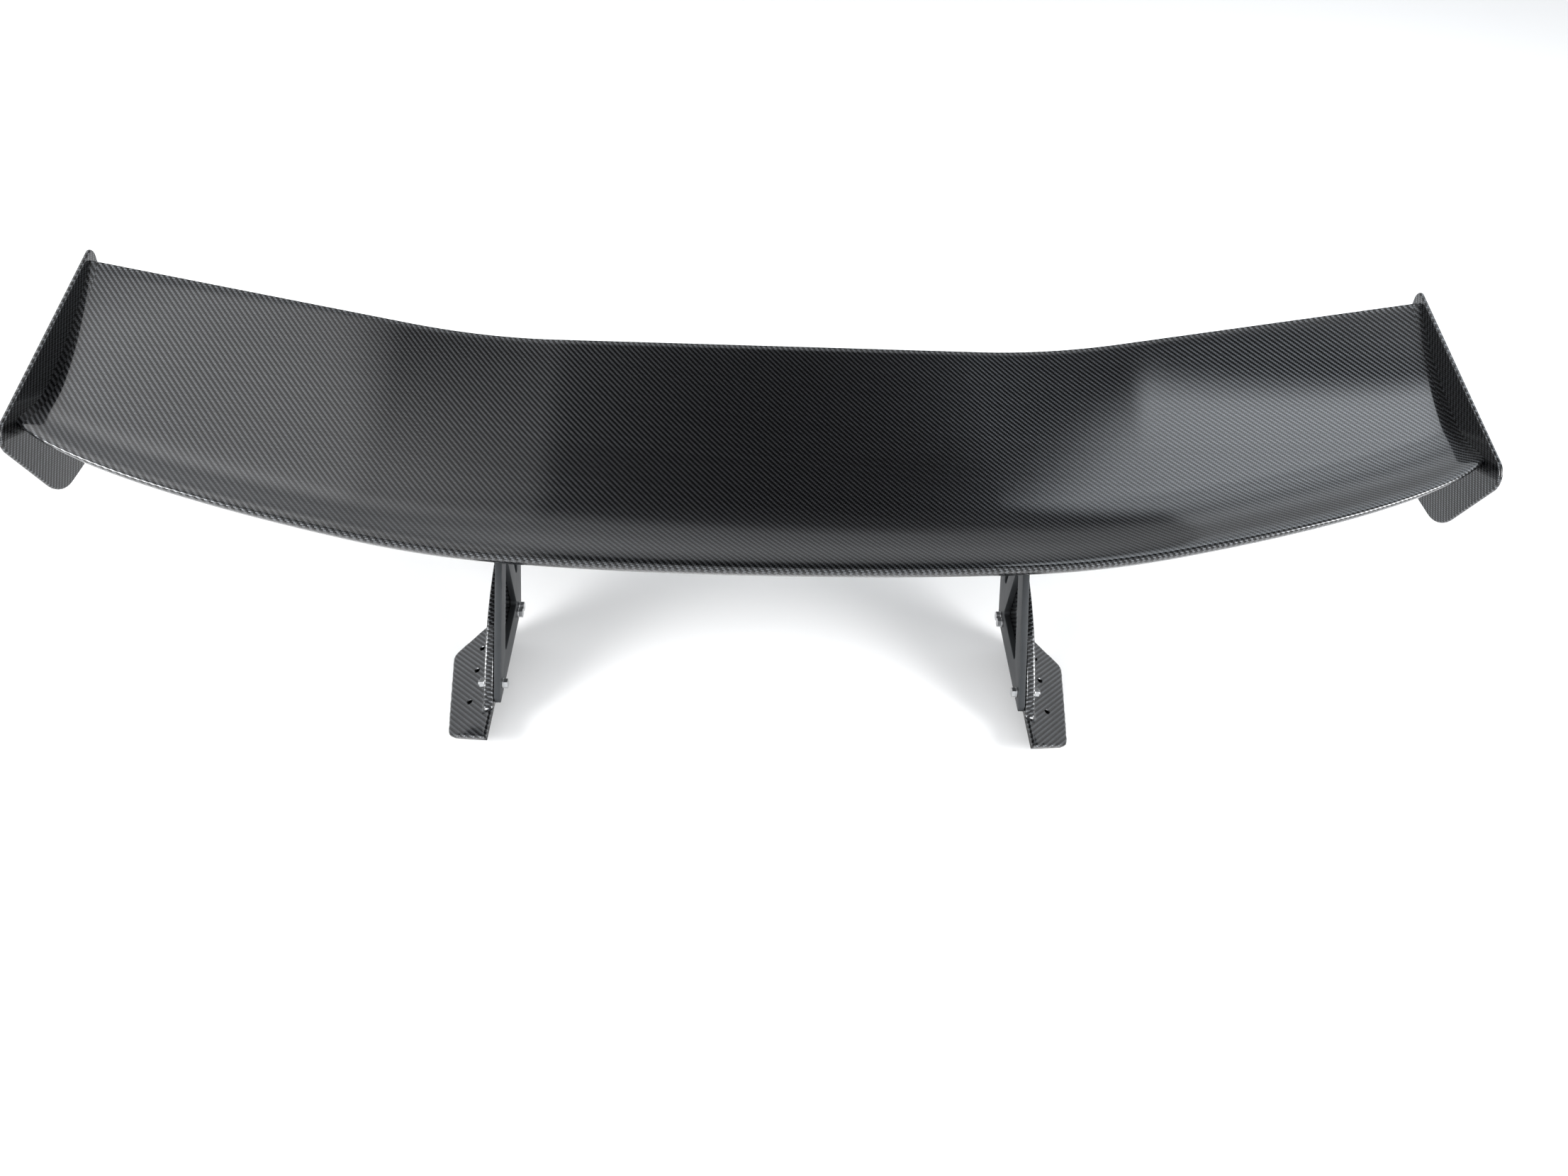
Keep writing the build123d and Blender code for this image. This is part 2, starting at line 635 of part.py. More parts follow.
def wing_parts():
    """Everything in the wing that is not left or right."""
    upper, lower = skins()
    for side in SIDES.values():
        for bore in tab_bores(side, M6["hole"]):
            lower -= bore
    return {
        "wing_upper_skin": upper,
        "wing_lower_skin": lower,
        "wing_main_spar": spar(MAIN_SPAR, MAIN_SPAR_WIDTH),
        "wing_rear_spar": spar(REAR_SPAR, REAR_SPAR_WIDTH),
        "centre_rib": whole_ribs(0, CENTRE_RIB),
    }


def side_parts(side):
    """Everything on one side that turns with the wing, then everything that stays with the upright."""
    tab_middle = UPRIGHT_FACE + TAB_WIDTH / 2
    beside_tab = [side * (tab_middle + step) for step in (-MOUNT_RIB_STEP, MOUNT_RIB_STEP)]
    endplate_screw_set, endplate_washer_set = endplate_fasteners(side)
    pivot_bolt, pivot_nut, pivot_washers = top_fasteners(side, PIVOT)
    lock_bolt, lock_nut, lock_washers = top_fasteners(side, LOCK)
    fin_bolts, fin_nuts, fin_washers = fin_fasteners(side)
    return {
        "mount_ribs": Compound(children=[rib(x, OTHER_RIBS) for x in beside_tab]),
        "outer_rib": whole_ribs(side * OUTER_RIB_PLACE, OTHER_RIBS),
        "tip_rib": tip_rib(side),
        "tip_inserts": inserts(side),
        "endplate": endplate(side),
        "endplate_screws": endplate_screw_set,
        "endplate_washers": endplate_washer_set,
        "wing_tab": tab(side),
        "nut_plate": nut_plate(side),
        "tab_screws": tab_screws(side),
        "upright": upright(side),
        "pivot_sleeve": pivot_sleeve(side),
        "pivot_bolt": pivot_bolt,
        "pivot_nut": pivot_nut,
        "pivot_washers": pivot_washers,
        "lock_bolt": lock_bolt,
        "lock_nut": lock_nut,
        "lock_washers": lock_washers,
        "fin_bolts": fin_bolts,
        "fin_nuts": fin_nuts,
        "fin_washers": fin_washers,
        "foot": foot(side),
        "foot_gasket": gasket(side),
        "backing_plate": backing_plate(side),
    }


parts = wing_parts()
for side_name, side in SIDES.items():
    for name, shape in side_parts(side).items():
        parts[f"{name}_{side_name}"] = shape

# The origin is the middle of the underside of the whole part's box.
box = Compound(children=[solids_of(shape) for shape in parts.values()]).bounding_box()
to_origin = Pos(0, -box.center().Y, -box.min.Z)

os.makedirs("parts", exist_ok=True)
for name, shape in parts.items():
    export_step(to_origin * solids_of(shape), f"parts/{name}.step")

pivot_y, pivot_z = in_upright(PIVOT)
print("moved by", -box.center().Y, -box.min.Z)
print("pivot axis", pivot_y - box.center().Y, pivot_z - box.min.Z)
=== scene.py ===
import json
import math
from functools import cache

import bmesh
import bpy
from mathutils import Matrix, Vector
from mathutils.geometry import delaunay_2d_cdt


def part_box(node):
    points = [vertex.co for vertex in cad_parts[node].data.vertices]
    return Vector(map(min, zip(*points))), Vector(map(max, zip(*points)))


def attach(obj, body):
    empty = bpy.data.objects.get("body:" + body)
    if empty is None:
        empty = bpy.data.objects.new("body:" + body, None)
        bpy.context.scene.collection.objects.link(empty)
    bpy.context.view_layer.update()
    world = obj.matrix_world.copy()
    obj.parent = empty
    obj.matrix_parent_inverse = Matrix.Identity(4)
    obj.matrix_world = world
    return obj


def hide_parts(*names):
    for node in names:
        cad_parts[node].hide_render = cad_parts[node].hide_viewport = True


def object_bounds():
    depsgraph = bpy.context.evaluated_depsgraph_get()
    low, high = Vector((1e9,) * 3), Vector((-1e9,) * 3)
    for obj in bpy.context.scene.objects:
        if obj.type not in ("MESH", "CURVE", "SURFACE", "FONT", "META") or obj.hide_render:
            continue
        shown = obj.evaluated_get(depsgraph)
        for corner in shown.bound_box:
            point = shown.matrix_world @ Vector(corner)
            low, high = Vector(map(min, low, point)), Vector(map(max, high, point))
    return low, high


# A racing rear wing on two uprights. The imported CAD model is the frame. The pieces with soft or rolled
# shapes are rebuilt here round it: the skins, tip ribs and endplates of the wing, the moulded feet, and the
# flat plates with their chamfered holes. Lengths are millimetres unless a comment says metres.
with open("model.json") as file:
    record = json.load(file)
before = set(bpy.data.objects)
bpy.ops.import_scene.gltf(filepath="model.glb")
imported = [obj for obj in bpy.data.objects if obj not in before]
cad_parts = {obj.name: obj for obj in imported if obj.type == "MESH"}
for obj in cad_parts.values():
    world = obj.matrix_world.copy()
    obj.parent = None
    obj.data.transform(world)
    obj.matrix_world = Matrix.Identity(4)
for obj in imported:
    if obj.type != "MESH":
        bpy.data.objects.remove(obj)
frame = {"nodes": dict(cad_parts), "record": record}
cad_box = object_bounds()
MM = 0.001
SIDES = {"left": 1, "right": -1}

# ---- the wing, as in the CAD model ----
HALF = 810.0  # from the middle to the outer face of a tip rib
TIP_RIB = 8.0
CENTRE_LENGTH = 378.0  # leading to trailing edge on the centre line
TIP_SWEEP = 137.0  # how far the leading edge has swept back at the tips
SWEEP_SPAN = 832.0  # half axis of the ellipse that the leading edge follows
CENTRE_PITCH = 36.5  # height of the trailing edge over the leading edge at the centre
KNEE = 360.0  # where the outer panels start to rise
KNEE_BLEND = 90.0
LEADING_RISE = 0.15
TRAILING_RISE = 0.20
DISH_CENTRE = 0.05  # depth of the hollow upper face, as a share of the length
DISH_TIP = 0.08
DISH_PLACE = 0.32
THICKNESS = 0.115
TRAILING_THICKNESS = 3.0
SKIN = 2.0

# ---- finish of the wing's edges ----
TAIL_ROLL = 1.2  # radius on the trailing edge
LIP_LENGTH = 6.0  # the trailing edge curls up over this length
LIP_HEIGHT = 2.2
STATIONS = 200  # mesh lines across the span
SHARES = 56  # mesh lines from the leading edge to the lip
NOSE_CROWDING = 1.8  # power that draws those lines together towards the nose
LIP_STEPS = 5
ROLL_STEPS = 4
WELD_SKIN = 0.0005  # joins the points where the two faces of a skin meet
WING_SHARP = 60  # degrees between faces from which an edge of the wing is sharp

# ---- plates and feet ----
ENDPLATE_ROLL = 2.2
ENDPLATE_CHAMFER = 0.3
PLATE_CHAMFER = 0.7
BACKING_ROLL = 1.2
GASKET_CHAMFER = 0.3
HOLE_CHAMFER = 0.8
HOLE_SIDES = 40
HOLE_WALL = 0.95  # cosine between a hole's axis and a normal, under which a face is part of its wall
DRILL_MARGIN = 1.0  # a cutter stands this far out of the piece at both ends
NODE_BEVEL = 0.35
WELD = 0.01  # points of a CAD mesh that are closer than this are one point
SAME_WAY = 0.999  # cosine of the angle between normals that count as one direction
SAME_LEVEL = 0.05  # faces this close in height are one face
SAME_SPOT = 0.00001  # corners this close are one corner when a flat face is cut into triangles
INSIDE_EDGES = 1  # the kind of triangulation that stays inside the outer edges
FIN = 12.0  # thickness of the foot's upright part, which the upright is bolted to
FLANGE = 6.0  # thickness of its flat part, which lies on the car
FLANGE_FALL = math.radians(25)
FOOT_VOXEL = 1.3  # cells in which the foot and its fillet become one skin
FOOT_SMOOTHING = 26  # passes that roll the edges of the voxel mesh
FOOT_SHARP = 35  # degrees between faces from which an edge of the foot is sharp
FOOT_FILLET = 16.0  # radius between the fin and the flange
FILLET_START = 46.0  # the fillet begins this far behind the gasket's front
FILLET_SWELL = 0.33  # share of its length over which it grows at its front end
FILLET_SHRINK = 0.12  # and over which it shrinks at its rear end
FILLET_LEAST = 0.25  # share of the full radius left at its ends
FILLET_ROOT = 3.5  # how deep it is rooted in the fin and the flange
FILLET_STEPS = 24
FILLET_CURVE = 8

# ---- studio, in metres. The levels are brightnesses: of the sky, against the cosine of the angle from the
# middle of its dark patch, and of a softbox, against the share of the way across it or along it ----
DARK_PATCH = Vector((0.1, 0.57, 0.82)).normalized()
SKY_LEVELS = ((0.0, 1.15), (0.75, 0.95), (0.87, 0.6), (0.95, 0.1), (1.0, 0.02))
SOFTBOX_ACROSS = ((0.0, 0.0), (0.04, 1.0), (0.9, 1.0), (1.0, 0.0))
EVEN = ((0.0, 0.0), (0.1, 1.0), (0.5, 0.9), (1.0, 0.0))
FADING = ((0.0, 0.0), (0.035, 1.0), (0.13, 0.6), (0.4, 0.3), (1.0, 0.0))
FLOOR_REACH = 40.0  # from the middle of the floor to its sides

# ---- camera: its place from the foremost point of the nose, and how it is aimed ----
FILM = 36.0  # its width
LENS = 26.0  # its focal length
CAMERA_PLACE = Vector((-44.0, -870.0, 825.0))
CAMERA_DOWN = math.radians(44.2)
CAMERA_ASIDE = math.radians(3.2)
CAMERA_TILT = math.radians(3.45)

# ---- cloth ----
TOW = 1.85  # width of one tow of the twill
REPEAT = 4.0  # tows in one repeat of the pattern
TOWS_OVER = 1.99  # a tow passes over two others; just short of two, so that rounding can't add one
TOW_CROWN = 3.6  # how much a tow rounds off towards its sides
TOW_DIP = 0.6  # how much it dips where it goes under
CLOTH_TURN = math.radians(6)  # how far the wing's cloth is turned from the span


# ================================================================ meshes
def smooth(data, smooth_angle):
    """Shades a mesh smooth, except over edges sharper than smooth_angle."""
    data.shade_smooth()
    data.set_sharp_from_angle(angle=math.radians(smooth_angle))


def finish_mesh(mesh, name, smooth_angle=40):
    """Turns a bmesh in metres into an object."""
    bmesh.ops.recalc_face_normals(mesh, faces=mesh.faces)
    data = bpy.data.meshes.new(name)
    mesh.to_mesh(data)
    mesh.free()
    smooth(data, smooth_angle)
    piece = bpy.data.objects.new(name, data)
    bpy.context.scene.collection.objects.link(piece)
    return piece


def flatten_normals(piece):
    """Makes large flat faces shade flat right up to their rolled edges."""
    weighted = piece.modifiers.new("flat_faces", "WEIGHTED_NORMAL")
    weighted.keep_sharp = True
    weighted.weight = 100


def lay_cloth(piece, place):
    """Stores where each point lies on the unrolled cloth, in millimetres, as place(point) gives it."""
    cloth = piece.data.attributes.new("cloth", "FLOAT_VECTOR", "POINT")
    for vert, spot in zip(piece.data.vertices, cloth.data):
        spot.vector = (*place(vert.co / MM), 0.0)


def welded(node):
    """A copy of a CAD node's mesh with its split points joined."""
    mesh = bmesh.new()
    mesh.from_mesh(frame["nodes"][node].data)
    bmesh.ops.remove_doubles(mesh, verts=mesh.verts, dist=WELD * MM)
    return mesh


def flat_loops(node, normal):
    """The outline and hole loops of the CAD face that looks along normal: metres, material on the left."""
    mesh = welded(node)
    facing = [face for face in mesh.faces if face.normal.dot(normal) > SAME_WAY]
    level = max(facing, key=lambda face: face.calc_area()).verts[0].co.dot(normal)
    flat = [face for face in facing if abs(face.verts[0].co.dot(normal) - level) < SAME_LEVEL * MM]
    following = {}
    for face in flat:
        for corner in face.loops:
            others = [other for other in corner.edge.link_faces if other is not face]
            if not any(other in flat for other in others):
                following[corner.vert] = corner.link_loop_next.vert
    loops = []
    while following:
        first, vert = following.popitem()
        points = [first.co.copy()]
        while vert is not first:
            points.append(vert.co.copy())
            vert = following.pop(vert)
        loops.append(points)
    mesh.free()
    return sorted(loops, key=loop_length, reverse=True)


def loop_length(points):
    """The distance round a closed loop."""
    return sum((points[i] - points[i - 1]).length for i in range(len(points)))


def inset_loop(points, normal, inset, sink):
    """The loop moved into the material by inset and below the face by sink, both in metres."""
    moved = []
    for i, point in enumerate(points):
        before = (point - points[i - 1]).normalized()
        after = (points[(i + 1) % len(points)] - point).normalized()
        first = normal.cross(before)
        second = normal.cross(after)
        mitre = (first + second) / (1 + first.dot(second))
        moved.append(point + mitre * inset - normal * sink)
    return moved


def add_ring(mesh, points):
    return [mesh.verts.new(point) for point in points]


def join_rings(mesh, first, second, material=0):
    """Faces between two closed rings with as many points each."""
    for i in range(len(first)):
        face = mesh.faces.new((first[i - 1], first[i], second[i], second[i - 1]))
        face.material_index = material


def cap(mesh, rings, normal):
    """A flat face in triangles, across normal: inside the first ring and outside the others, the holes."""
    verts = []
    owners = []
    edges = []
    for owner, ring in enumerate(rings):
        start = len(verts)
        edges += [(start + i, start + (i + 1) % len(ring)) for i in range(len(ring))]
        owners += [owner] * len(ring)
        verts += ring
    level = normal.to_track_quat("Z", "Y").inverted()
    spots = [(level @ vert.co / MM).xy for vert in verts]
    triangles = delaunay_2d_cdt(spots, edges, [], INSIDE_EDGES, SAME_SPOT)[2]
    for corners in triangles:
        touched = {owners[corner] for corner in corners}
        if len(touched) > 1 or 0 in touched:  # a triangle with all its corners on one hole would fill it
            mesh.faces.new([verts[corner] for corner in corners])


def rolled_plate(name, node, normal, roll, chamfer, steps):
    """A flat CAD plate rebuilt with its outline rolled over roll and its holes chamfered."""
    loops = flat_loops(node, normal)
    heights = [vert.co.dot(normal) for vert in frame["nodes"][node].data.vertices]
    thickness = max(heights) - min(heights)
    mesh = bmesh.new()
    top_caps = []
    bottom_caps = []
    for place, loop in enumerate(loops):
        is_outline = place == 0
        size = (roll if is_outline else chamfer) * MM
        parts = steps if is_outline else 1
        rings = []
        for step in range(parts + 1):
            turn = math.pi / 2 * step / parts
            rings.append((size * (1 - math.sin(turn)), size * (1 - math.cos(turn))))
        rings += [(inset, thickness - sink) for inset, sink in reversed(rings)]
        made = [add_ring(mesh, inset_loop(loop, normal, inset, sink)) for inset, sink in rings]
        for i in range(len(made) - 1):
            is_chamfer = not is_outline and i != parts
            join_rings(mesh, made[i], made[i + 1], 1 if is_chamfer else 0)
        top_caps.append(made[0])
        bottom_caps.append(made[-1])
    cap(mesh, top_caps, normal)
    cap(mesh, bottom_caps, normal)
    piece = finish_mesh(mesh, name, smooth_angle=50)
    flatten_normals(piece)
    return piece


def circle(centre, turn, radius, height):
    """Points round a circle that lies across the turned Z axis, at a height along it from centre."""
    points = []
    for i in range(HOLE_SIDES):
        angle = math.tau * i / HOLE_SIDES
        place = Vector((radius * math.cos(angle), radius * math.sin(angle), height))
        points.append(centre + turn @ place)
    return points


def drill(piece, holes, chamfer):
    """Cuts (centre, axis, radius, depth) holes, in metres, through a piece, chamfered at both ends.

    The walls of the holes get the piece's second material.
    """
    mesh = bmesh.new()
    for centre, axis, radius, depth in holes:
        turn = axis.to_track_quat("Z", "Y").to_matrix()
        flare = chamfer * MM + DRILL_MARGIN * MM
        reach = depth / 2 + DRILL_MARGIN * MM
        profile = (
            (radius + flare, -reach),
            (radius, flare - reach),
            (radius, reach - flare),
            (radius + flare, reach),
        )
        rings = [add_ring(mesh, circle(centre, turn, wide, height)) for wide, height in profile]
        for first, second in zip(rings, rings[1:]):
            join_rings(mesh, first, second)
        mesh.faces.new(rings[0])
        mesh.faces.new(rings[-1])
    cutter = finish_mesh(mesh, piece.name + "_cutter")
    cut = piece.modifiers.new("holes", "BOOLEAN")
    cut.object = cutter
    cut.solver = "EXACT"
    keep_result(piece)
    bpy.data.objects.remove(cutter)
    for face in piece.data.polygons:
        for centre, axis, radius, _ in holes:
            away = face.center - centre
            aside = (away - axis * away.dot(axis)).length
            if aside < radius + chamfer * MM and abs(face.normal.dot(axis)) < HOLE_WALL:
                face.material_index = 1


def keep_result(piece):
    """Replaces a piece's mesh by what its modifiers make of it."""
    graph = bpy.context.evaluated_depsgraph_get()
    made = bpy.data.meshes.new_from_object(piece.evaluated_get(graph), depsgraph=graph)
    piece.modifiers.clear()
    piece.data = made


def place_piece(piece, body, materials, node):
    """Puts a finished piece on its CAD body with its materials, and hides the CAD node that it stands for.
    """
    piece.data.materials.clear()
    for material in materials:
        piece.data.materials.append(material)
    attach(piece, body)
    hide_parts(node)


# ================================================================ the wing's surface
def rise(x):
    """Height of the outer panel per unit of slope: flat, then a parabola round the knee, then straight."""
    past = abs(x) - KNEE
    if past <= -KNEE_BLEND:
        return 0.0
    if past >= KNEE_BLEND:
        return past
    return (past + KNEE_BLEND) ** 2 / (4 * KNEE_BLEND)


def sweep(x):
    """How far back the leading edge is at x."""
    depth = TIP_SWEEP / (1 - math.sqrt(1 - (HALF / SWEEP_SPAN) ** 2))
    return depth * (1 - math.sqrt(1 - (x / SWEEP_SPAN) ** 2))


def half_thickness(share):
    """Half the section's thickness over its length, the usual four-digit aerofoil curve."""
    curve = 0.2969 * math.sqrt(share) - 0.126 * share - 0.3516 * share**2
    return 5 * THICKNESS * (curve + 0.2843 * share**3 - 0.1036 * share**4)


def middle_depth(share, x):
    """How far the middle of the section hangs under its chord, over its length."""
    dish = DISH_CENTRE + (DISH_TIP - DISH_CENTRE) * rise(x) / rise(HALF)
    depth = dish + half_thickness(DISH_PLACE)
    if share < DISH_PLACE:
        return depth * (2 * DISH_PLACE * share - share**2) / DISH_PLACE**2
    return depth * (1 - 2 * DISH_PLACE + 2 * DISH_PLACE * share - share**2) / (1 - DISH_PLACE) ** 2


def nose():
    """The foremost point of the leading edge, on the centre line."""
    points = frame["nodes"]["wing_upper_skin"].data.vertices
    return min(points, key=lambda vert: vert.co.y).co / MM


NOSE = nose()


def wing_point(x, share, layer, skin=0.0):
    """A point of the wing: layer 1 is the upper face and -1 the underside, skin is a depth below it."""
    length = CENTRE_LENGTH - sweep(x)
    front = LEADING_RISE * rise(x)
    back = CENTRE_PITCH + TRAILING_RISE * rise(x)
    from_tail = (1 - share) * length
    half = half_thickness(share) * length + TRAILING_THICKNESS / 2 * share
    if from_tail < TAIL_ROLL:
        half -= TAIL_ROLL - math.sqrt(TAIL_ROLL**2 - (TAIL_ROLL - from_tail) ** 2)
    half = max(half - skin, 0.0)
    lip = LIP_HEIGHT * max(0.0, 1 - from_tail / LIP_LENGTH) ** 2
    z = front + (back - front) * share - middle_depth(share, x) * length + layer * half + lip
    return Vector((x, NOSE.y + sweep(x) + share * length, NOSE.z + z))


def share_lines():
    """Shares of the length, close together at the nose and round the trailing edge."""
    lip_start = 1 - LIP_LENGTH / CENTRE_LENGTH
    roll_start = 1 - TAIL_ROLL / CENTRE_LENGTH
    lines = [lip_start * (i / SHARES) ** NOSE_CROWDING for i in range(SHARES + 1)]
    for i in range(1, LIP_STEPS + 1):
        lines.append(lip_start + (roll_start - lip_start) * i / LIP_STEPS)
    for i in range(1, ROLL_STEPS + 1):
        lines.append(roll_start + (1 - roll_start) * math.sin(math.pi / 2 * i / ROLL_STEPS))
    return lines


def turned(across, along):
    """Where a point across and along the wing lies on its cloth, which is turned a little."""
    cosine = math.cos(CLOTH_TURN)
    sine = math.sin(CLOTH_TURN)
    return along * sine - across * cosine, along * cosine + across * sine


def cloth_rows(stations, shares, layer):
    """Where the points of one face lie on its cloth: out along the span, and back round the nose."""
    rows = []
    across = 0.0
    for i, x in enumerate(stations):
        if i > 0:
            step = wing_point(x, 0.5, layer) - wing_point(stations[i - 1], 0.5, layer)
            across += step.xz.length
        row = []
        along = 0.0
        for j, share in enumerate(shares):
            if j > 0:
                along += (wing_point(x, share, layer) - wing_point(x, shares[j - 1], layer)).length
            row.append((*turned(across, sweep(x) + layer * along), 0.0))
        rows.append(row)
    return rows


def grid(mesh, rows, marks, cloth):
    """Adds a grid of points with their places on the cloth, and its faces."""
    verts = []
    for row, spots in zip(rows, marks):
        line = [mesh.verts.new(point * MM) for point in row]
        for vert, spot in zip(line, spots):
            vert[cloth] = spot
        verts.append(line)
    for a, b in zip(verts, verts[1:]):
        for j in range(len(a) - 1):
            mesh.faces.new((a[j], a[j + 1], b[j + 1], b[j]))
    return verts


def wing_skin(name, layer, node):
    """One skin: its outer face, its inner face and the rims that close it."""
    end = HALF - TIP_RIB
    stations = [-end + 2 * end * i / STATIONS for i in range(STATIONS + 1)]
    shares = share_lines()
    marks = cloth_rows(stations, shares, layer)
    mesh = bmesh.new()
    cloth = mesh.verts.layers.float_vector.new("cloth")
    outer = grid(mesh, [[wing_point(x, s, layer) for s in shares] for x in stations], marks, cloth)
    inner = grid(mesh, [[wing_point(x, s, layer, SKIN) for s in shares] for x in stations], marks, cloth)
    for a, b in ((outer[0], inner[0]), (outer[-1], inner[-1])):
        for j in range(len(a) - 1):
            mesh.faces.new((a[j], a[j + 1], b[j + 1], b[j]))
    for i in range(len(outer) - 1):
        mesh.faces.new((outer[i][-1], outer[i + 1][-1], inner[i + 1][-1], inner[i][-1]))
    bmesh.ops.remove_doubles(mesh, verts=mesh.verts, dist=WELD_SKIN * MM)
    piece = finish_mesh(mesh, name, smooth_angle=WING_SHARP)
    place_piece(piece, "wing", [carbon()], node)


def tip_rib(name, side):
    """The full-section rib that closes the wing's end, drilled for its three inserts."""
    inner = side * (HALF - TIP_RIB)
    outer = side * HALF
    shares = share_lines()
    around = [(1, share) for share in reversed(shares)] + [(-1, share) for share in shares[1:]]
    mesh = bmesh.new()
    rings = [add_ring(mesh, [wing_point(x, s, layer) * MM for layer, s in around]) for x in (inner, outer)]
    join_rings(mesh, *rings)
    for ring in rings:
        mesh.faces.new(ring)
    bmesh.ops.remove_doubles(mesh, verts=mesh.verts, dist=WELD_SKIN * MM)
    piece = finish_mesh(mesh, f"tip_rib_shell_{name}", smooth_angle=WING_SHARP)
    drill(piece, side_holes(f"tip_rib_{name}", side, TIP_RIB), 0.0)
    smooth(piece.data, WING_SHARP)
    place_piece(piece, "wing", [carbon(), cut_carbon()], f"tip_rib_{name}")
    lay_cloth(piece, wing_cloth)


def wing_cloth(point):
    """Where a point near a tip lies on the wing's cloth, taken as flat from there on."""
    return turned(point.x, point.y - NOSE.y)


# ================================================================ feet
def flange_normal(side):
    return Vector((side * math.sin(FLANGE_FALL), 0, math.cos(FLANGE_FALL)))


def flange_level(name, side):
    """How far the flange's upper face is from the origin, along its own normal, in metres."""
    normal = flange_normal(side)
    return flat_loops(f"foot_{name}", normal)[0][0].dot(normal)


def fin_corner(name, side):
    """The x and z, in metres, at which the fin's outer face meets the flange's upper face."""
    normal = flange_normal(side)
    low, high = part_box(f"upright_{name}")
    x = side * (max(abs(low.x), abs(high.x)) + FIN * MM)
    return x, (flange_level(name, side) - normal.x * x) / normal.z


def fillet_radius(share):
    """The fillet's radius in metres: it swells from the foot's front end and shrinks at the rear."""
    full = min(1.0, share / FILLET_SWELL, (1 - share) / FILLET_SHRINK)
    return FOOT_FILLET * MM * (FILLET_LEAST + (1 - FILLET_LEAST) * full)


def fillet_strip(mesh, name, side):
    """A solid strip with a hollowed face along the corner between the fin and the flange."""
    x, z = fin_corner(name, side)
    low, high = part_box(f"foot_gasket_{name}")
    front = low.y + FILLET_START * MM
    up = Vector((0, 0, 1))
    out = Vector((side * math.cos(FLANGE_FALL), 0, -math.sin(FLANGE_FALL)))
    into_fin = Vector((-side * FILLET_ROOT * MM, 0, 0))
    into_flange = flange_normal(side) * -FILLET_ROOT * MM
    tangent = math.tan((math.pi / 2 - FLANGE_FALL) / 2)
    rings = []
    for i in range(FILLET_STEPS + 1):
        share = i / FILLET_STEPS
        corner = Vector((x, front + (high.y - front) * share, z))
        top = corner + up * fillet_radius(share) * tangent
        foot_end = corner + out * fillet_radius(share) * tangent
        curve = [corner + into_fin + into_flange, top + into_fin]
        for step in range(FILLET_CURVE + 1):
            t = step / FILLET_CURVE
            curve.append(top * (1 - t) ** 2 + corner * 2 * t * (1 - t) + foot_end * t**2)
        rings.append(add_ring(mesh, curve + [foot_end + into_flange]))
    for a, b in zip(rings, rings[1:]):
        join_rings(mesh, a, b)
    mesh.faces.new(rings[0])
    mesh.faces.new(rings[-1])


def side_holes(node, side, thickness):
    """The bores along X of a CAD node as (centre, axis, radius, depth), from its inner face outwards."""
    holes = []
    for loop in flat_loops(node, Vector((-side, 0, 0)))[1:]:
        centre = sum(loop, Vector()) / len(loop)
        middle = centre + Vector((side * thickness / 2 * MM, 0, 0))
        holes.append((middle, Vector((1, 0, 0)), (loop[0] - centre).length, thickness * MM))
    return holes


def flange_holes(name, side):
    """The three bores through the flange as (centre, axis, radius, depth)."""
    normal = flange_normal(side)
    middle = flange_level(name, side) - FLANGE / 2 * MM
    holes = []
    for mount in frame["record"]["mounts"]:
        if mount["name"].startswith(f"base_bolt_{name}"):
            centre = Vector(mount["pos_m"])
            centre += normal * (middle - centre.dot(normal))
            holes.append((centre, normal, mount["dims"]["r_mm"] * MM, FLANGE * MM))
    return holes


def fill_holes(mesh, holes):
    """Removes the walls of the bores and closes the faces over them."""
    near = 0.1 * MM
    walls = []
    for face in mesh.faces:
        for centre, axis, radius, _ in holes:
            away = [vert.co - centre for vert in face.verts]
            if all((step - axis * step.dot(axis)).length < radius + near for step in away):
                walls.append(face)
                break
    bmesh.ops.delete(mesh, geom=walls, context="FACES")
    bmesh.ops.holes_fill(mesh, edges=[edge for edge in mesh.edges if edge.is_boundary])


def foot(name, side):
    """The moulded foot: the CAD shape with a wide fillet, all its edges rolled, then drilled."""
    holes = flange_holes(name, side) + side_holes(f"foot_{name}", side, FIN)
    mesh = welded(f"foot_{name}")
    fill_holes(mesh, holes)
    fillet_strip(mesh, name, side)
    piece = finish_mesh(mesh, f"foot_moulding_{name}")
    remesh = piece.modifiers.new("one_skin", "REMESH")
    remesh.mode = "VOXEL"
    remesh.voxel_size = FOOT_VOXEL * MM
    rolled = piece.modifiers.new("rolled_edges", "SMOOTH")
    rolled.factor = 0.5
    rolled.iterations = FOOT_SMOOTHING
    keep_result(piece)
    drill(piece, holes, HOLE_CHAMFER)
    smooth(piece.data, FOOT_SHARP)
    lay_cloth(piece, foot_cloth)
    place_piece(piece, "stand", [carbon(), cut_carbon()], f"foot_{name}")


def foot_cloth(point):
    """Down the fin and out along the flange is one direction of the cloth, front to rear the other."""
    lean = 1 / math.cos(FLANGE_FALL) - math.tan(FLANGE_FALL)
    return lean * abs(point.x) - point.z, point.y


def plate_cloth(point):
    """The cloth of an upright carbon plate."""
    return point.y, point.z


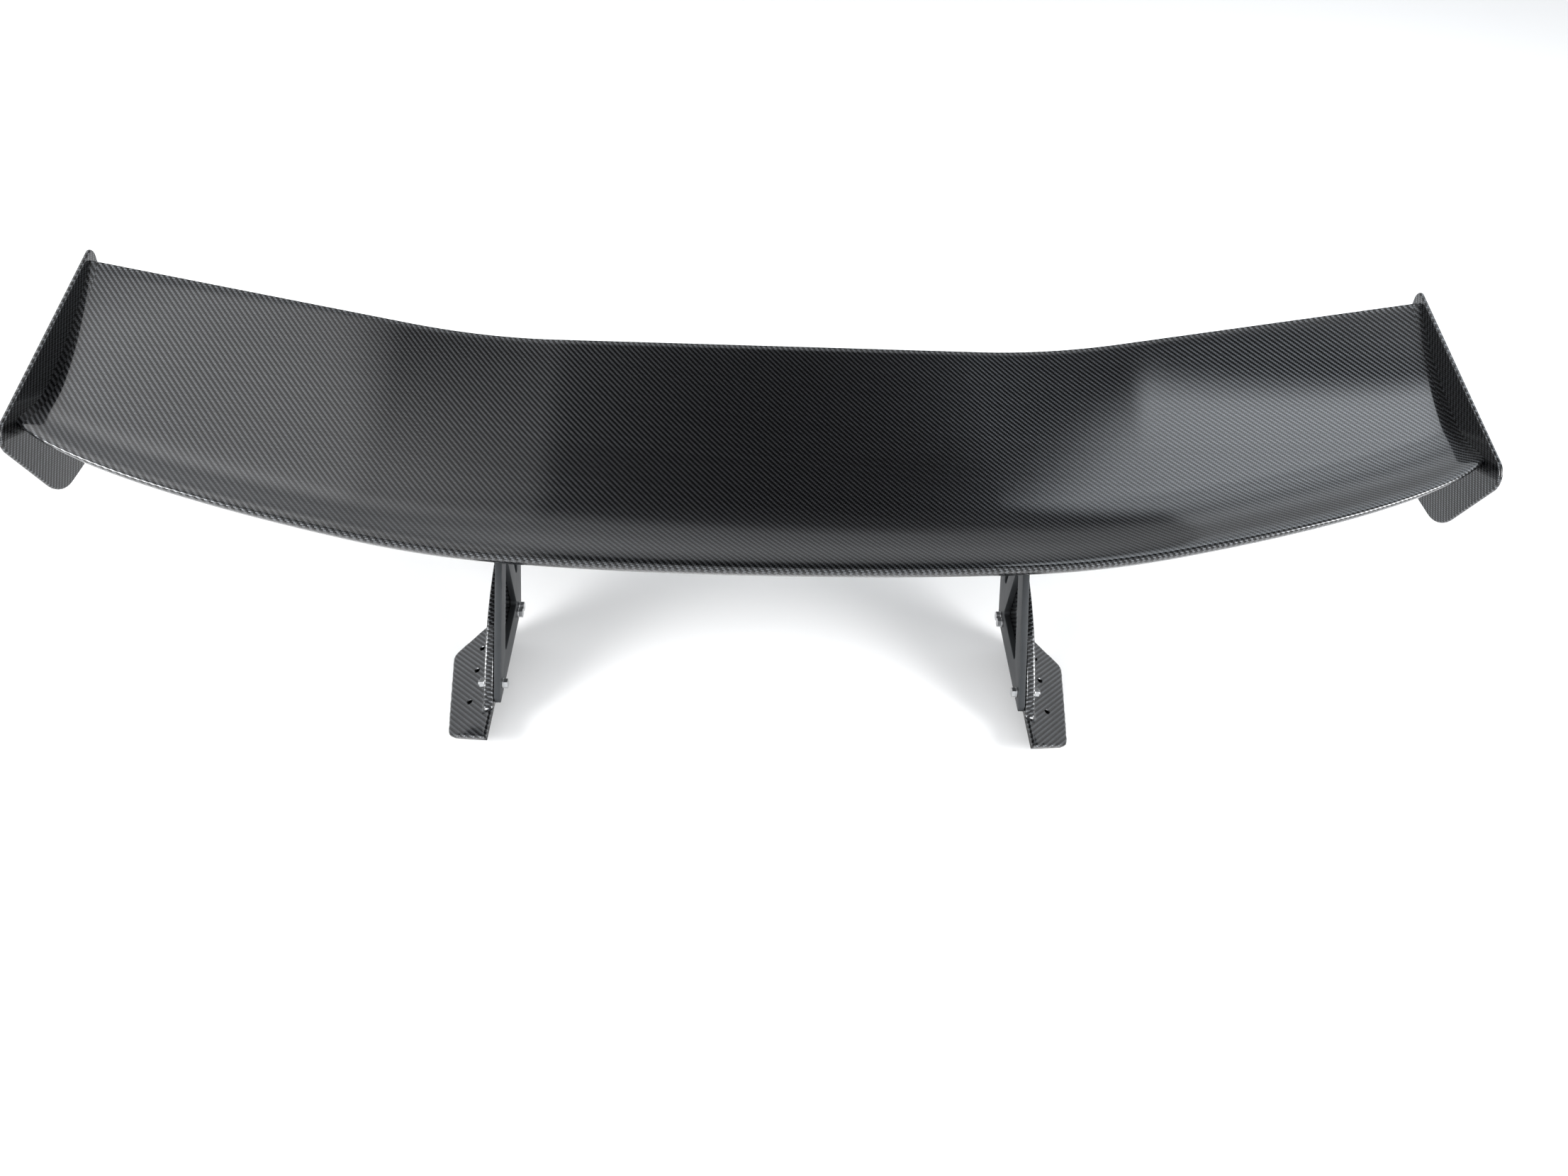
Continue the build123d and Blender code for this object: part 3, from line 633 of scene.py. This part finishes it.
# ================================================================ materials, each made once
class Shader:
    """Adds and wires the nodes of one material, so that a pattern reads as a formula."""

    def __init__(self, name):
        self.material = bpy.data.materials.new(name)
        self.material.use_nodes = True
        self.nodes = self.material.node_tree.nodes
        self.surface = self.nodes["Principled BSDF"]

    def wire(self, value, socket):
        if isinstance(value, bpy.types.NodeSocket):
            self.material.node_tree.links.new(value, socket)
        else:
            socket.default_value = value

    def set(self, **values):
        """Sets inputs of the surface by name, with _ for a space."""
        for name, value in values.items():
            self.wire(value, self.surface.inputs[name.replace("_", " ")])

    def maths(self, operation, *values):
        node = self.nodes.new("ShaderNodeMath")
        node.operation = operation
        for value, socket in zip(values, node.inputs):
            self.wire(value, socket)
        return node.outputs[0]

    def mix(self, share, first, second):
        """A number between first and second."""
        node = self.nodes.new("ShaderNodeMix")
        self.wire(share, node.inputs[0])
        self.wire(first, node.inputs[2])
        self.wire(second, node.inputs[3])
        return node.outputs[0]

    def colour(self, share, first, second):
        """A colour between first and second."""
        node = self.nodes.new("ShaderNodeMix")
        node.data_type = "RGBA"
        self.wire(share, node.inputs[0])
        self.wire(first, node.inputs[6])
        self.wire(second, node.inputs[7])
        return node.outputs[2]

    def noise(self, place, scale, detail=2.0):
        node = self.nodes.new("ShaderNodeTexNoise")
        self.wire(place, node.inputs["Vector"])
        node.inputs["Scale"].default_value = scale
        node.inputs["Detail"].default_value = detail
        return node.outputs["Fac"]

    def random(self, value):
        node = self.nodes.new("ShaderNodeTexWhiteNoise")
        node.noise_dimensions = "1D"
        self.wire(value, node.inputs["W"])
        return node.outputs["Value"]

    def place(self):
        """The point's place in the object, in metres."""
        return self.nodes.new("ShaderNodeTexCoord").outputs["Object"]

    def stretched(self, x, y, z):
        """The place with each axis scaled, for grain that runs one way."""
        node = self.nodes.new("ShaderNodeVectorMath")
        node.operation = "MULTIPLY"
        self.wire(self.place(), node.inputs[0])
        node.inputs[1].default_value = (x, y, z)
        return node.outputs[0]

    def bump(self, height, depth, strength=1.0):
        """A normal from a height of 0 to 1 over a depth in metres."""
        node = self.nodes.new("ShaderNodeBump")
        node.inputs["Strength"].default_value = strength
        node.inputs["Distance"].default_value = depth
        self.wire(height, node.inputs["Height"])
        return node.outputs["Normal"]


def grey(value, tint=0.0):
    """A grey, a little bluer with a positive tint and warmer with a negative one."""
    return value * (1 - tint), value, value * (1 + tint), 1.0


def twill(shader):
    """A 2x2 twill on the cloth: which tow is on top, the tow's height, and a random shade for each tow."""
    attribute = shader.nodes.new("ShaderNodeAttribute")
    attribute.attribute_name = "cloth"
    split = shader.nodes.new("ShaderNodeSeparateXYZ")
    shader.wire(attribute.outputs["Vector"], split.inputs[0])
    across = shader.maths("DIVIDE", split.outputs[0], TOW)
    along = shader.maths("DIVIDE", split.outputs[1], TOW)
    column = shader.maths("FLOOR", across)
    row = shader.maths("FLOOR", along)
    step = shader.maths("FLOORED_MODULO", shader.maths("SUBTRACT", column, row), REPEAT)
    over = shader.maths("LESS_THAN", step, TOWS_OVER)
    heights = []
    for width, ahead, behind, start in ((across, column, along, 0.0), (along, across, row, 2.0)):
        off_centre = shader.maths("SUBTRACT", shader.maths("FRACT", width), 0.5)
        rounding = shader.maths("MULTIPLY", TOW_CROWN, shader.maths("POWER", off_centre, 2.0))
        crown = shader.maths("SUBTRACT", 1.0, rounding)
        travel = shader.maths("FLOORED_MODULO", shader.maths("SUBTRACT", ahead, behind), REPEAT)
        from_middle = shader.maths("SUBTRACT", shader.maths("SUBTRACT", travel, start), 1.0)
        dip = shader.maths("POWER", shader.maths("ABSOLUTE", from_middle), 4.0)
        heights.append(shader.maths("SUBTRACT", crown, shader.maths("MULTIPLY", dip, TOW_DIP)))
    height = shader.mix(over, heights[1], heights[0])
    shade = shader.mix(over, shader.random(row), shader.random(column))
    return over, height, shade


@cache
def carbon():
    """Clear-coated twill carbon: tows that shine across their own direction, under deep lacquer, with
    painted sheen that makes the tows running one way lighter and painted shade in the grooves between tows.
    """
    shader = Shader("carbon")
    over, height, shade = twill(shader)
    light = shader.mix(shade, 0.9, 1.1)
    # painted sheen: tows running one way are painted lighter than those running the other way, on top of
    # their real anisotropic shine
    tow = shader.mix(over, 0.15, 0.02)
    unshaded = shader.maths("MULTIPLY", tow, light)
    # painted shade: the colour darkens where a tow rounds off towards its sides and where it dips under
    # another
    lit = shader.maths("MULTIPLY", unshaded, shader.maths("MAXIMUM", height, 0.12))
    colour = shader.nodes.new("ShaderNodeCombineColor")
    for channel, tint in enumerate((0.96, 1.0, 1.06)):
        shader.wire(shader.maths("MULTIPLY", lit, tint), colour.inputs[channel])
    waves = shader.noise(shader.place(), 60.0, 1.0)
    shader.set(
        Base_Color=colour.outputs[0],
        Metallic=0.95,
        Specular_Tint=grey(0.3),
        Roughness=0.3,
        Anisotropic=0.6,
        Anisotropic_Rotation=shader.maths("MULTIPLY", over, 0.25),
        Tangent=Vector((0, 1, 0)),
        Normal=shader.bump(height, 0.12 * MM, 0.5),
        Coat_Weight=1.0,
        Coat_Roughness=shader.mix(shader.noise(shader.place(), 25.0), 0.03, 0.07),
        Coat_Normal=shader.bump(waves, 0.05 * MM, 0.3),
    )
    return shader.material


@cache
def cut_carbon():
    """Bare cut edge of a laminate: bright resin flecks on grey."""
    shader = Shader("cut_carbon")
    flecks = shader.noise(shader.place(), 2600.0, 2.0)
    shader.set(
        Base_Color=shader.colour(flecks, grey(0.2), grey(0.8)),
        Roughness=0.35,
        Specular_IOR_Level=0.8,
    )
    return shader.material


@cache
def inner_carbon():
    """Uncoated carbon of the inner frame."""
    shader = Shader("inner_carbon")
    grain = shader.noise(shader.stretched(1.0, 12.0, 12.0), 240.0, 3.0)
    shader.set(
        Base_Color=shader.colour(grain, grey(0.02), grey(0.07)),
        Roughness=shader.mix(grain, 0.45, 0.7),
        Normal=shader.bump(grain, 0.1 * MM, 0.5),
    )
    return shader.material


@cache
def black_anodised():
    """Satin black anodised aluminium: fine bead-blasted grain, faint cloudy handling marks."""
    shader = Shader("black_anodised")
    grain = shader.noise(shader.place(), 2400.0, 2.0)
    clouds = shader.noise(shader.place(), 14.0, 4.0)
    shader.set(
        Base_Color=shader.colour(clouds, grey(0.022, 0.08), grey(0.05, 0.08)),
        Metallic=0.55,
        Roughness=shader.mix(clouds, 0.36, 0.55),
        Normal=shader.bump(grain, 0.03 * MM, 0.5),
    )
    return shader.material


@cache
def bare_edge():
    """The bright chamfer round a hole in an anodised plate."""
    shader = Shader("bare_edge")
    grain = shader.noise(shader.place(), 900.0, 2.0)
    shader.set(
        Base_Color=shader.colour(grain, grey(0.35), grey(0.75)),
        Metallic=1.0,
        Roughness=shader.mix(grain, 0.2, 0.4),
    )
    return shader.material


def turned_metal(name, dark, light, metallic, least_rough, most_rough):
    """A turned or rolled metal: fine rings of grain across the part's X axis, and light wear."""
    shader = Shader(name)
    grain = shader.noise(shader.stretched(6.0, 1.0, 1.0), 700.0, 3.0)
    wear = shader.noise(shader.place(), 160.0, 3.0)
    shader.set(
        Base_Color=shader.colour(wear, dark, light),
        Metallic=metallic,
        Roughness=shader.mix(wear, least_rough, most_rough),
        Normal=shader.bump(grain, 0.02 * MM, 0.4),
    )
    return shader.material


@cache
def steel():
    return turned_metal("steel", grey(0.42), grey(0.68, 0.02), 1.0, 0.22, 0.42)


@cache
def dark_steel():
    return turned_metal("dark_steel", grey(0.035), grey(0.11), 0.9, 0.3, 0.5)


@cache
def brass():
    return turned_metal("brass", (0.55, 0.36, 0.12, 1), (0.83, 0.62, 0.27, 1), 1.0, 0.22, 0.42)


@cache
def rubber():
    """Matt moulded rubber."""
    shader = Shader("rubber")
    grain = shader.noise(shader.place(), 1500.0, 3.0)
    shader.set(
        Base_Color=shader.colour(grain, grey(0.012), grey(0.03)),
        Roughness=shader.mix(grain, 0.65, 0.85),
        Normal=shader.bump(grain, 0.05 * MM, 0.5),
    )
    return shader.material


# ================================================================ plates, and the CAD nodes that stay
def plates(name, side):
    """The flat plates of one side, rebuilt from their CAD outlines."""
    outwards = Vector((side, 0, 0))
    above = flange_normal(side)

    node = f"endplate_{name}"
    piece = rolled_plate(f"endplate_panel_{name}", node, outwards, ENDPLATE_ROLL, ENDPLATE_CHAMFER, 5)
    lay_cloth(piece, plate_cloth)
    place_piece(piece, "wing", [carbon(), cut_carbon()], node)

    node = f"upright_{name}"
    piece = rolled_plate(f"upright_plate_{name}", node, outwards, PLATE_CHAMFER, PLATE_CHAMFER, 1)
    place_piece(piece, "stand", [black_anodised(), bare_edge()], node)

    node = f"backing_plate_{name}"
    piece = rolled_plate(f"backing_bar_{name}", node, above, BACKING_ROLL, PLATE_CHAMFER, 3)
    place_piece(piece, "stand", [black_anodised(), bare_edge()], node)

    node = f"foot_gasket_{name}"
    piece = rolled_plate(f"gasket_pad_{name}", node, above, GASKET_CHAMFER, GASKET_CHAMFER, 2)
    place_piece(piece, "stand", [rubber(), rubber()], node)


NODE_FINISHES = {
    "carbon": carbon,
    "inner_carbon": inner_carbon,
    "black_anodised": black_anodised,
    "dark_steel": dark_steel,
    "steel": steel,
    "brass": brass,
    "rubber": rubber,
}


def dress_cad_nodes():
    """Gives every CAD node that is still shown its material, and all but the inner carbon ones a small
    bevel on their sharp edges.
    """
    for node in frame["nodes"].values():
        if node.hide_render:
            continue
        finish = node.data.materials[0].name.split(".")[0]
        node.material_slots[0].material = NODE_FINISHES[finish]()
        if finish == "inner_carbon":
            continue
        weld = node.modifiers.new("weld", "WELD")
        weld.merge_threshold = WELD * MM
        bevel = node.modifiers.new("edges", "BEVEL")
        bevel.width = NODE_BEVEL * MM
        bevel.segments = 2
        bevel.limit_method = "ANGLE"
        bevel.angle_limit = math.radians(40)
        flatten_normals(node)


# ================================================================ studio
def softbox(name, place, target, width, height, level, along=EVEN, spin=0.0, tint=0.0):
    """A rectangular light at place that faces target, as bright as level, dimmer towards its edges."""
    light = bpy.data.lights.new(name, "AREA")
    light.shape = "RECTANGLE"
    light.color = grey(1.0, tint)[:3]
    light.size = width
    light.size_y = height
    light.energy = 4 * width * height * level  # makes the level the brightness of the light's face
    light.use_nodes = True
    nodes = light.node_tree.nodes
    links = light.node_tree.links
    spot = nodes.new("ShaderNodeSeparateXYZ")
    links.new(nodes.new("ShaderNodeNewGeometry").outputs["Parametric"], spot.inputs[0])
    fade = nodes.new("ShaderNodeMath")
    fade.operation = "MULTIPLY"
    links.new(ramp_of(nodes, links, spot.outputs[0], SOFTBOX_ACROSS), fade.inputs[0])
    links.new(ramp_of(nodes, links, spot.outputs[1], along), fade.inputs[1])
    links.new(fade.outputs[0], nodes["Emission"].inputs["Strength"])
    lamp = bpy.data.objects.new(name, light)
    lamp.location = place
    facing = (Vector(target) - Vector(place)).to_track_quat("-Z", "Y").to_matrix()
    lamp.rotation_euler = (facing @ Matrix.Rotation(math.radians(spin), 3, "Z")).to_euler()
    bpy.context.scene.collection.objects.link(lamp)


def ramp_of(nodes, links, value, levels):
    """Brightness as a smooth curve through (value, brightness) levels."""
    ramp = nodes.new("ShaderNodeValToRGB")
    ramp.color_ramp.interpolation = "EASE"
    stops = ramp.color_ramp.elements
    while len(stops) < len(levels):
        stops.new(0.5)
    for stop, (place, brightness) in zip(stops, levels):
        stop.position = place
        stop.color = grey(brightness)
    links.new(value, ramp.inputs[0])
    return ramp.outputs[0]


def sky():
    """A pale surround with a dark patch overhead to the rear, which the middle of the wing mirrors."""
    world = bpy.data.worlds.new("studio")
    world.use_nodes = True
    bpy.context.scene.world = world
    nodes = world.node_tree.nodes
    links = world.node_tree.links
    near = nodes.new("ShaderNodeVectorMath")
    near.operation = "DOT_PRODUCT"
    near.inputs[1].default_value = DARK_PATCH
    links.new(nodes.new("ShaderNodeTexCoord").outputs["Generated"], near.inputs[0])
    brightness = ramp_of(nodes, links, near.outputs["Value"], SKY_LEVELS)
    background = nodes["Background"]
    links.new(brightness, background.inputs["Strength"])
    background.inputs["Color"].default_value = grey(1.0, 0.02)


def lights():
    """Softboxes: two hang over the outer panels, which mirror them, and two ahead light the nose."""
    left = (1.65, 1.5, 1.35)
    under_left = (1.65, 1.5, 0.0)
    softbox("softbox_rear_left", left, under_left, 1.7, 2.4, level=2.5, along=FADING, spin=-16, tint=0.05)
    right = (-1.62, 1.2, 1.35)
    under_right = (-1.62, 1.2, 0.0)
    softbox("softbox_rear_right", right, under_right, 2.2, 2.2, level=1.05, spin=10)
    for name, side in SIDES.items():
        softbox(f"softbox_front_{name}", (side * 2.3, -1.2, 1.7), (0.0, -0.3, 0.2), 1.4, 2.0, level=13.0)


def floor():
    """A plain pale floor under the feet."""
    low, _ = cad_box
    mesh = bmesh.new()
    bmesh.ops.create_grid(mesh, x_segments=8, y_segments=8, size=FLOOR_REACH)
    piece = finish_mesh(mesh, "floor")
    piece.location.z = low.z
    shader = Shader("floor")
    shader.set(Base_Color=grey(0.9), Roughness=0.7)
    piece.data.materials.append(shader.material)


def camera():
    """A wide view from ahead of the wing and above it, aimed down and a little to one side."""
    lens = bpy.data.cameras.new("camera")
    lens.sensor_width = FILM
    lens.lens = LENS
    view = bpy.data.objects.new("camera", lens)
    view.location = (NOSE + CAMERA_PLACE) * MM
    turn = Matrix.Rotation(-CAMERA_ASIDE, 3, "Z") @ Matrix.Rotation(math.pi / 2 - CAMERA_DOWN, 3, "X")
    view.rotation_euler = (turn @ Matrix.Rotation(CAMERA_TILT, 3, "Z")).to_euler()
    bpy.context.scene.collection.objects.link(view)
    bpy.context.scene.camera = view


# ================================================================ build
wing_skin("wing_skin_upper", 1, "wing_upper_skin")
wing_skin("wing_skin_lower", -1, "wing_lower_skin")
for name, side in SIDES.items():
    tip_rib(name, side)
    plates(name, side)
    foot(name, side)
dress_cad_nodes()

sky()
floor()
lights()
camera()
bpy.context.scene.view_settings.view_transform = "Standard"
